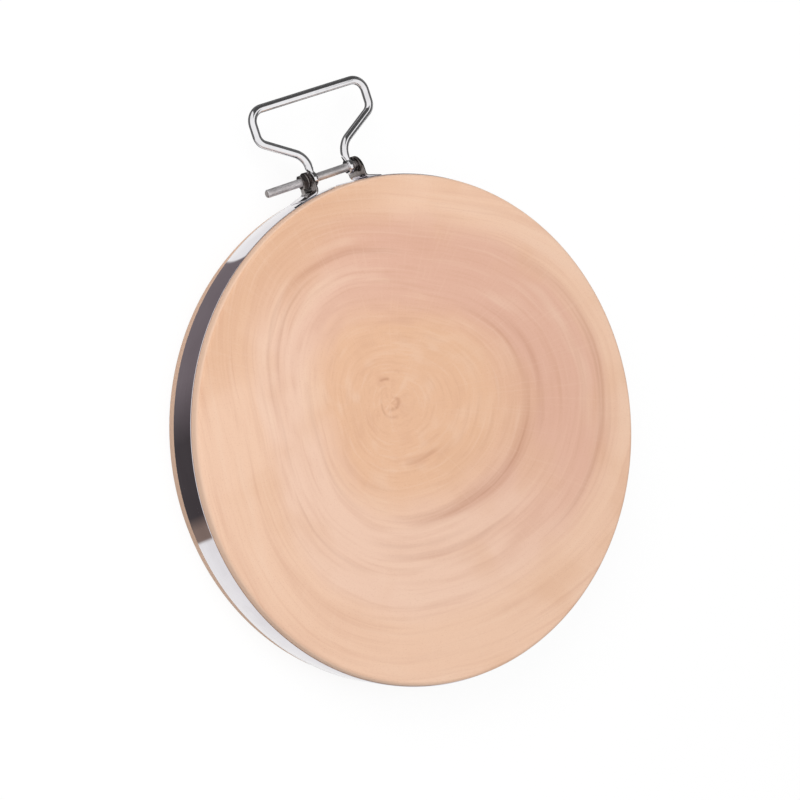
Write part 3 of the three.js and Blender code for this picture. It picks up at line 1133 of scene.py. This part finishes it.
@dataclass
class ClampScrew:
    """The long clamp bolt with its threaded tail, thin nut and washer."""

    bolt: tuple[Vector, Vector]
    nut: tuple[Vector, Vector]
    washer: tuple[Vector, Vector]
    shank_radius: float = 2.5 * MM
    pitch: float = 0.8 * MM
    thread_depth: float = 0.43 * MM
    crest: float = 0.12 * MM
    crest_play: float = 0.02 * MM
    runout: float = 1.5 * MM
    tip_chamfer: float = 0.6 * MM
    head_rim: float = 0.8 * MM
    head_dome: float = 1.6 * MM
    slot_width: float = 1.2 * MM
    slot_depth: float = 1.2 * MM
    bore_radius: float = 2.62 * MM
    countersink: float = 0.35 * MM
    edge: float = 0.2 * MM
    nut_sides: int = 6
    chamfer_share: float = 0.6
    steps: int = 48
    thread_steps: int = 24
    spare_turns: int = 2
    dome_steps: int = 8

    @classmethod
    def from_frame(cls) -> ClampScrew:
        """Take the three fasteners' places from the frame."""
        return cls(bolt=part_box("clamp_bolt"), nut=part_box("clamp_nut"), washer=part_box("nut_washer"))

    @property
    def axis(self) -> Vector:
        """A point on the bolt's axis, at x = 0."""
        low, high = self.bolt
        return Vector((0, (low.y + high.y) / 2, (low.z + high.z) / 2))

    def _at(self, x: float) -> Vector:
        """Point of the bolt's axis at a place along X."""
        return self.axis + ALONG_X * x

    def build(self) -> None:
        """Model and dress the bolt, the washer and the nut."""
        bright, dark = FASTENER_STEEL.material(), NUT_STEEL.material()
        fittings = (
            (self._bolt(), bright, Body.BOARD, "clamp_bolt"),
            (self._washer(), dark, Body.WASHER, "nut_washer"),
            (self._nut(), dark, Body.NUT, "clamp_nut"),
        )
        for piece, steel, body, node in fittings:
            obj = piece.finish()
            dress(obj, steel)
            if body is Body.BOARD:
                piece.repaint(dark, self._is_sawn_end)
            put_on(obj, body, node)

    def _is_sawn_end(self, face: Any) -> bool:
        """Tell the flat end of the bolt's tail, which takes the nut's darker steel."""
        return face.calc_center_median().x < self.bolt[0].x + self.edge

    def _bolt(self) -> Workpiece:
        """Turn the shank and its slotted dome, and fuse the threaded tail on.

        Returns:
            The bolt.
        """
        low, high = self.bolt
        head_radius = (high.z - low.z) / 2
        rim_x = high.x - self.head_dome
        seat_x = rim_x - self.head_rim
        thread_end = self.washer[1].x + self.runout
        profile = [(thread_end, 0.0), (thread_end, self.shank_radius), (seat_x, self.shank_radius)]
        profile += [(seat_x, head_radius - self.edge), (seat_x + self.edge, head_radius)]
        for step in range(self.dome_steps + 1):
            angle = QUARTER_TURN * step / self.dome_steps
            profile.append((rim_x + self.head_dome * math.sin(angle), head_radius * math.cos(angle)))
        bolt = Workpiece.turned("clamp_screw", profile, self.axis, self.steps)
        half_slot = Vector((0, self.slot_width / 2, head_radius + self.edge))
        slot_low = self._at(high.x - self.slot_depth) - half_slot
        slot_high = self._at(high.x + self.slot_depth) + half_slot
        bolt.combine(Join.CUT, Workpiece.block("screw_slot", slot_low, slot_high))
        bolt.combine(Join.FUSE, self._threaded_tail(low.x, thread_end))
        return bolt

    def _threaded_tail(self, tip_x: float, end_x: float) -> Workpiece:
        """Screw one tooth round the axis for every turn, then trim the tail to its ends.

        Args:
            tip_x: Place of the bolt's tip.
            end_x: Place where the thread runs into the plain shank.

        Returns:
            The threaded tail.
        """
        turns = math.ceil((end_x - tip_x) / self.pitch) + 2 * self.spare_turns
        root = self.shank_radius - self.thread_depth
        top = self.shank_radius - self.crest_play
        flank = (self.pitch - 2 * self.crest) / 2
        tooth = ((0.0, root), (self.crest, root), (self.crest + flank, top),
                 (2 * self.crest + flank, top), (self.pitch, root))
        start = tip_x - self.spare_turns * self.pitch
        tail = Workpiece.outline("screw_thread", [Vector((start + x, radius, 0)) for x, radius in tooth])
        tail.modify(
            "SCREW", axis="X", angle=FULL_TURN, screw_offset=self.pitch, iterations=turns,
            steps=self.thread_steps, render_steps=self.thread_steps, use_merge_vertices=True,
            merge_threshold=WELD_DISTANCE, use_smooth_shade=False,
        )
        with tail.editing():
            tail.pick_all(Element.VERTEX)
            bpy.ops.transform.translate(value=self.axis)
            self._trim_end(tail, tip_x, -1)
            self._trim_end(tail, end_x + self.runout / 2, 1)
            tail.seal()
        tip = self.shank_radius - self.tip_chamfer
        wide = self.shank_radius + self.tip_chamfer
        beyond = tip_x - self.tip_chamfer
        guard = [(beyond, 0.0), (beyond, tip - self.tip_chamfer), (tip_x + 2 * self.tip_chamfer, wide)]
        guard += [(end_x + self.pitch, wide), (end_x + self.pitch, 0.0)]
        tail.combine(Join.TRIM, Workpiece.turned("tip_guard", guard, self.axis, self.steps))
        return tail

    def _trim_end(self, tail: Workpiece, place: float, side: int) -> None:
        """Cut the tail square at a place along X, with its waste to one side, and close it."""
        tail.pick_all(Element.FACE)
        bpy.ops.mesh.bisect(
            plane_co=(place, 0, 0), plane_no=(side, 0, 0), use_fill=True, clear_outer=True,
            threshold=WELD_DISTANCE,
        )

    def _washer(self) -> Workpiece:
        """Turn the washer with eased rims.

        Returns:
            The washer.
        """
        low, high = self.washer
        outer = (high.z - low.z) / 2
        inner = self.bore_radius + self.edge / 2
        rim = ((low.x + self.edge, outer), (high.x - self.edge, outer), (high.x, outer - self.edge))
        bore = ((high.x, inner), (low.x, inner), (low.x, outer - self.edge), (low.x + self.edge, outer))
        return Workpiece.turned("screw_washer", rim + bore, self.axis, self.steps)

    def _nut(self) -> Workpiece:
        """Chamfer a hexagonal bar and bore it.

        Returns:
            The nut.
        """
        low, high = self.nut
        corner_radius = (high.z - low.z) / 2
        flat_radius = (high.y - low.y) / 2
        ends = (self._at(low.x), self._at(high.x))
        nut = Workpiece.rod("screw_nut", corner_radius, ends, self.nut_sides)
        fall = (corner_radius - flat_radius) * self.chamfer_share
        wide, narrow = corner_radius + self.edge, flat_radius - self.edge
        cone = ((low.x, 0.0), (low.x, narrow), (low.x + fall, wide))
        cone += ((high.x - fall, wide), (high.x, narrow), (high.x, 0.0))
        nut.combine(Join.TRIM, Workpiece.turned("nut_chamfer", cone, self.axis, self.steps))
        sink = self.countersink
        mouth = self.bore_radius + 2 * sink
        bore = ((low.x - sink, 0.0), (low.x - sink, mouth), (low.x + sink, self.bore_radius))
        bore += ((high.x - sink, self.bore_radius), (high.x + sink, mouth), (high.x + sink, 0.0))
        nut.combine(Join.CUT, Workpiece.turned("nut_bore", bore, self.axis, self.steps))
        return nut


@dataclass
class CarryingBail:
    """The bent wire bail, whose flattened eyes turn on the bolt."""

    low: Vector
    high: Vector
    ear_inner_x: float
    axis: Vector
    wire_radius: float = 2.5 * MM
    side_play: float = 0.9 * MM
    neck_rise: float = 13.3 * MM
    shoulder_rise: float = 29 * MM
    neck_bend: float = 12 * MM
    shoulder_bend: float = 7 * MM
    grip_bend: float = 8 * MM
    eye_thickness: float = 3 * MM
    eye_overlap: float = 1 * MM
    eye_edge: float = 0.7 * MM
    eye_steps: int = 4
    hole_radius: float = 2.7 * MM
    flat_length: float = 2.8 * MM
    flat_spread: float = 1.2
    sides: int = 32
    bend_steps: int = 14
    eye_sides: int = 64

    @classmethod
    def from_frame(cls) -> CarryingBail:
        """Take the bail's reach from the frame."""
        low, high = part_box("bail_handle")
        bolt_low, bolt_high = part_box("clamp_bolt")
        ear_low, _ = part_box("right_lug")
        middle = (bolt_low + bolt_high) / 2
        return cls(low=low, high=high, ear_inner_x=ear_low.x, axis=Vector((0, middle.y, middle.z)))

    @property
    def eye_radius(self) -> float:
        """Outer radius of the eyes."""
        return (self.high.z - self.low.z) / 2

    @property
    def foot_x(self) -> float:
        """Place of the right foot's middle line."""
        return self.ear_inner_x - self.side_play - self.wire_radius

    def build(self) -> None:
        """Model and dress the bail."""
        bail = self._wire()
        for side in (-1, 1):
            bail.combine(Join.FUSE, self._eye(side * self.foot_x))
        reach = ALONG_X * self.ear_inner_x
        ends = (self.axis - reach, self.axis + reach)
        bail.combine(Join.CUT, Workpiece.rod("eye_hole", self.hole_radius, ends, self.eye_sides))
        obj = bail.finish()
        dress(obj, WIRE_STEEL.material())
        put_on(obj, Body.BAIL, "bail_handle")

    def _corners(self) -> list[Vector]:
        """Corners of the wire's middle line, from the right foot over the grip to the left foot."""
        side_x = self.high.x - self.wire_radius
        bar_y = self.high.y - self.wire_radius
        right = [
            Vector((self.foot_x, self.axis.y + self.eye_radius - self.eye_overlap, self.axis.z)),
            Vector((self.foot_x, self.axis.y + self.neck_rise, self.axis.z)),
            Vector((side_x, self.axis.y + self.shoulder_rise, self.axis.z)),
            Vector((side_x, bar_y, self.axis.z)),
        ]
        left = [Vector((-corner.x, corner.y, corner.z)) for corner in reversed(right)]
        return right + left

    def _wire(self) -> Workpiece:
        """Draw the wire out along its straights and spin it through its bends.

        Returns:
            The wire, with its two ends flattened towards the eyes.
        """
        corners = self._corners()
        half_bends = [self.neck_bend, self.shoulder_bend, self.grip_bend]
        bends = half_bends + half_bends[::-1]
        flat = (self.eye_thickness / (2 * self.wire_radius), 1.0, self.flat_spread)
        round_again = (1 / flat[0], 1.0, 1 / flat[2])
        place = corners[0]
        wire = Workpiece.wire_end("wire_bail", self.wire_radius, place, self.sides)
        with wire.editing():
            wire.pick_all(Element.FACE)
            wire.resize(flat, place)
            move = Vector((0, self.flat_length, 0))
            wire.extrude(move)
            place = place + move
            wire.resize(round_again, place)
            for before, corner, after, radius in zip(corners, corners[1:], corners[2:], bends):
                back = (before - corner).normalized()
                ahead = (after - corner).normalized()
                half_angle = back.angle(ahead) / 2
                entry = corner + back * (radius / math.tan(half_angle))
                centre = corner + (back + ahead).normalized() * (radius / math.sin(half_angle))
                turn = math.copysign(math.pi - 2 * half_angle, -back.cross(ahead).z)
                wire.extrude(entry - place)
                wire.spin(turn, centre, UP, self.bend_steps)
                place = corner + ahead * (radius / math.tan(half_angle))
            last = corners[-1] + move
            wire.extrude(last - place)
            wire.extrude(-move)
            wire.resize(flat, corners[-1])
            wire.seal()
        return wire

    def _eye(self, foot_x: float) -> Workpiece:
        """Make the flattened disc of one eye.

        Args:
            foot_x: Place of the foot's middle line.

        Returns:
            The disc, still without its hole.
        """
        half = ALONG_X * (self.eye_thickness / 2)
        middle = self.axis + ALONG_X * foot_x
        eye = Workpiece.rod("bail_eye", self.eye_radius, (middle - half, middle + half), self.eye_sides)
        with eye.editing():
            eye.pick(Element.EDGE, self._is_round_edge)
            eye.bevel(self.eye_edge, self.eye_steps)
        return eye

    def _is_round_edge(self, edge: Any) -> bool:
        """Tell the edges round an eye's two faces."""
        first, second = (vertex.co.x for vertex in edge.verts)
        return abs(first - second) < WELD_DISTANCE


PLAIN_BLACK = srgb(0, 0, 0)
CARD_WHITE = srgb(255, 255, 255)
# Shades of the cards that show in reflections alone: painted reflections on the steel.
CARD_SLATE = srgb(126, 117, 121)
CARD_BLACK = srgb(76, 71, 73)
CARD_UMBER = srgb(140, 122, 113)


@dataclass(frozen=True)
class DarkCard:
    """A flat dark card that shows in reflections alone, as a corner and two sides in millimetres."""

    name: str
    corner: Triple
    along: Triple
    across: Triple
    level: float

    def sheet(self) -> Workpiece:
        """Draw the card out from one of its sides.

        Returns:
            The card's sheet.
        """
        corner, along, across = (Vector(side) * MM for side in (self.corner, self.along, self.across))
        sheet = Workpiece.outline(self.name, [corner, corner + along])
        with sheet.editing():
            sheet.pick_all(Element.EDGE)
            sheet.extrude(across)
        return sheet

    def paint(self, graph: NodeGraph) -> None:
        """Give the card one even level."""
        graph.shade(Emission_Color=CARD_WHITE, Emission_Strength=self.level)


@dataclass(frozen=True)
class RimCard:
    """A card along the rim, at floor level, that shows in reflections alone and paints the dark
    reflection on the hoop; its shade changes with the heading in degrees.

    Lengths are in millimetres. The slant turns the edges between shades across the card, so that they
    stand square to the hoop in its reflection: radians for each millimetre from the rim, at the card's
    middle and the change with the heading.
    """

    name: str
    inner: float
    outer: float
    height: float
    rim: float
    slant: tuple[float, float]
    shades: tuple[tuple[float, Colour], ...]
    steps: int = 40

    @property
    def reach(self) -> tuple[float, float]:
        """First and last heading, in radians."""
        return math.radians(self.shades[0][0]), math.radians(self.shades[-1][0])

    def sheet(self) -> Workpiece:
        """Spin a flat stretch of ring along the rim.

        Returns:
            The card's sheet.
        """
        start, end = self.reach
        lift = UP * self.height * MM
        ends = [outwards(start) * radius * MM + lift for radius in (self.inner, self.outer)]
        sheet = Workpiece.outline(self.name, ends)
        with sheet.editing():
            sheet.pick_all(Element.VERTEX)
            sheet.spin(end - start, ORIGIN, UP, self.steps)
        return sheet

    def paint(self, graph: NodeGraph) -> None:
        """Grade the card's shade round the rim."""
        start, end = self.reach
        middle = (start + end) / 2
        ahead = graph.towards(graph.place, middle)
        aside = graph.towards(graph.place, middle + QUARTER_TURN)
        turn = graph.math("ARCTAN2", aside, ahead)
        from_rim = graph.math("SUBTRACT", graph.level_length(graph.place), self.rim)
        slant = graph.math("MULTIPLY_ADD", turn, self.slant[1], self.slant[0])
        turn = graph.math("SUBTRACT", turn, graph.math("MULTIPLY", from_rim, slant))
        share = graph.math("DIVIDE", graph.math("SUBTRACT", turn, start - middle), end - start)
        first, last = self.shades[0][0], self.shades[-1][0]
        stops = [((heading - first) / (last - first), shade) for heading, shade in self.shades]
        graph.shade(Emission_Color=graph.ramp(share, stops), Emission_Strength=1.0)


@dataclass(frozen=True)
class Lamp:
    """A square lamp that faces the board and doesn't show in reflections.

    The level is the light that it throws on a face turned to it, where 1 shows colours as written.
    """

    name: str
    place: Triple
    level: float
    size: float

    def hang(self) -> None:
        """Hang the lamp at its place."""
        clear_bench()
        place = Vector(self.place)
        turn = (-place).to_track_quat("-Z", "Y").to_euler()
        bpy.ops.object.light_add(type="AREA", location=place, rotation=turn)
        lamp = bpy.context.active_object
        lamp.name = self.name
        lamp.data.shape = "SQUARE"
        lamp.data.size = self.size
        lamp.data.energy = self.level * math.pi**2 * place.length_squared
        lamp.visible_glossy = False


@dataclass
class Studio:
    """White floor, soft lights, dark cards for the steel to reflect and the camera."""

    camera_place: Triple = (-0.65433, 0.19632, 1.13535)
    sight: Triple = (0.50036, -0.13574, -0.85511)
    image_right: Triple = (0.80104, -0.30225, 0.5167)
    lens_mm: float = 99.0
    sensor_mm: float = 36.0
    floor_size: float = 12.0
    floor_paint: float = 0.5
    floor_share: float = 0.75
    floor_glow: float = 1.18
    world_light: float = 0.46
    lamps: tuple[Lamp, ...] = (
        Lamp("key_light", place=(-0.8, 1.35, 1.45), level=0.42, size=1.3),
        Lamp("top_light", place=(-0.2, -0.1, 2.6), level=0.36, size=2.4),
    )
    # The cards glow at their own level and show in reflections alone: they are painted reflections. The
    # rim cards paint the hoop's dark bands, the bail card and the two panels the dark lines on the wire
    # and the fasteners, and the ear cards the dark reflections on the ears.
    cards: tuple[DarkCard | RimCard, ...] = (
        RimCard(
            "rim_card", inner=150.0, outer=200.0, height=0.3, rim=151.3, slant=(-0.0016, 0.0031),
            shades=(
                (108.0, CARD_WHITE), (119.0, CARD_WHITE), (119.8, CARD_SLATE), (150.0, CARD_SLATE),
                (164.0, CARD_BLACK), (180.5, CARD_BLACK), (183.5, CARD_UMBER), (186.0, CARD_UMBER),
                (186.8, CARD_WHITE), (196.0, CARD_WHITE),
            ),
        ),
        RimCard(
            "far_rim_card", inner=150.0, outer=290.0, height=0.3, rim=151.3, slant=(0.0, 0.0),
            shades=(
                (262.0, CARD_WHITE), (276.0, CARD_SLATE), (298.0, CARD_BLACK), (312.0, CARD_SLATE),
                (318.0, CARD_WHITE), (342.0, CARD_WHITE), (345.0, CARD_UMBER), (352.0, CARD_BLACK),
                (372.0, CARD_SLATE), (377.0, CARD_WHITE), (398.0, CARD_WHITE), (402.0, CARD_SLATE),
                (416.0, CARD_BLACK), (425.0, CARD_WHITE),
            ),
        ),
        DarkCard("bail_card", (-500.0, 168.0, 0.2), (1000.0, 0.0, 0.0), (0.0, 532.0, 0.0), level=0.14),
        DarkCard("left_ear_card", (-28.0, 153.5, 14.0), (9.5, 0.0, 0.0), (0.0, 12.5, 0.0), level=0.04),
        DarkCard("right_ear_card", (4.0, 155.0, 14.0), (12.0, 0.0, 0.0), (0.0, 11.0, 0.0), level=0.04),
        DarkCard("back_panel", (-200.0, 800.0, 0.0), (2000.0, 0.0, 0.0), (0.0, 0.0, 2200.0), level=0.08),
        DarkCard("side_panel", (900.0, -400.0, 0.0), (0.0, 1200.0, 0.0), (0.0, 0.0, 1400.0), level=0.12),
    )

    def build(self) -> None:
        """Set the stage."""
        bpy.context.scene.view_settings.view_transform = "Standard"
        self._camera()
        self._world()
        self._floor()
        for lamp in self.lamps:
            lamp.hang()
        for card in self.cards:
            self._hang(card)

    def _camera(self) -> None:
        """Stand the camera where the photograph was taken from."""
        back = -Vector(self.sight).normalized()
        image_right = Vector(self.image_right)
        right = (image_right - back * image_right.dot(back)).normalized()
        up = back.cross(right)
        turn = Matrix((right, up, back)).transposed().to_euler()
        bpy.ops.object.camera_add(location=self.camera_place, rotation=turn)
        camera = bpy.context.active_object
        camera.name = "photo_camera"
        camera.data.lens = self.lens_mm
        camera.data.sensor_width = self.sensor_mm
        bpy.context.scene.camera = camera

    def _seen(self, graph: NodeGraph) -> Socket:
        """Tell sight lines, straight or by reflection, from light that falls on things.

        Args:
            graph: The nodes to work in.

        Returns:
            1 for a sight line, 0 for light.
        """
        path = graph.add("ShaderNodeLightPath")
        total = path.outputs["Is Camera Ray"]
        for name in ("Is Glossy Ray", "Is Transmission Ray"):
            total = graph.math("MAXIMUM", total, path.outputs[name])
        return total

    def _world(self) -> None:
        """Surround the board with even white light, seen as plain white."""
        graph = NodeGraph(bpy.data.worlds.new("white_studio"), shader="Background")
        bpy.context.scene.world = graph.owner
        graph.shade(Color=CARD_WHITE, Strength=graph.spread(self._seen(graph), self.world_light, 1.0))

    def _floor(self) -> None:
        """Lay the white floor, which keeps a soft shadow."""
        clear_bench()
        bpy.ops.mesh.primitive_plane_add(size=self.floor_size)
        floor = bpy.context.active_object
        floor.name = "studio_floor"
        graph = NodeGraph(bpy.data.materials.new("studio_floor"))
        graph.shade(Base_Color=(self.floor_paint,) * 3, Roughness=1.0, Specular_IOR_Level=0.0)
        glow = graph.add("ShaderNodeEmission")
        graph.fill(glow, Strength=self.floor_glow)
        share = graph.math("MULTIPLY", self._seen(graph), self.floor_share)
        mix = graph.add("ShaderNodeMixShader")
        parts = (share, graph.shader.outputs["BSDF"], glow.outputs["Emission"])
        for socket, value in zip(mix.inputs, parts):
            graph.feed(socket, value)
        graph.fill(graph.tree.nodes["Material Output"], Surface=mix.outputs["Shader"])
        dress(floor, graph.owner)

    def _hang(self, card: DarkCard | RimCard) -> None:
        """Put a card up so that it shows in reflections alone.

        Args:
            card: The card.
        """
        obj = card.sheet().obj
        graph = NodeGraph(bpy.data.materials.new(card.name))
        graph.shade(Base_Color=PLAIN_BLACK, Specular_IOR_Level=0.0)
        card.paint(graph)
        dress(obj, graph.owner)
        obj.visible_camera = False
        obj.visible_diffuse = False
        obj.visible_transmission = False
        obj.visible_shadow = False


def main() -> None:
    """Build the board's pieces in order, then the studio round them."""
    logging.basicConfig(level=logging.INFO, format="%(name)s: %(message)s")
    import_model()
    ChoppingBlock.from_frame().build()
    ClampHoop.from_frame().build()
    ClampScrew.from_frame().build()
    CarryingBail.from_frame().build()
    Studio().build()


if __name__ == "__main__":
    main()
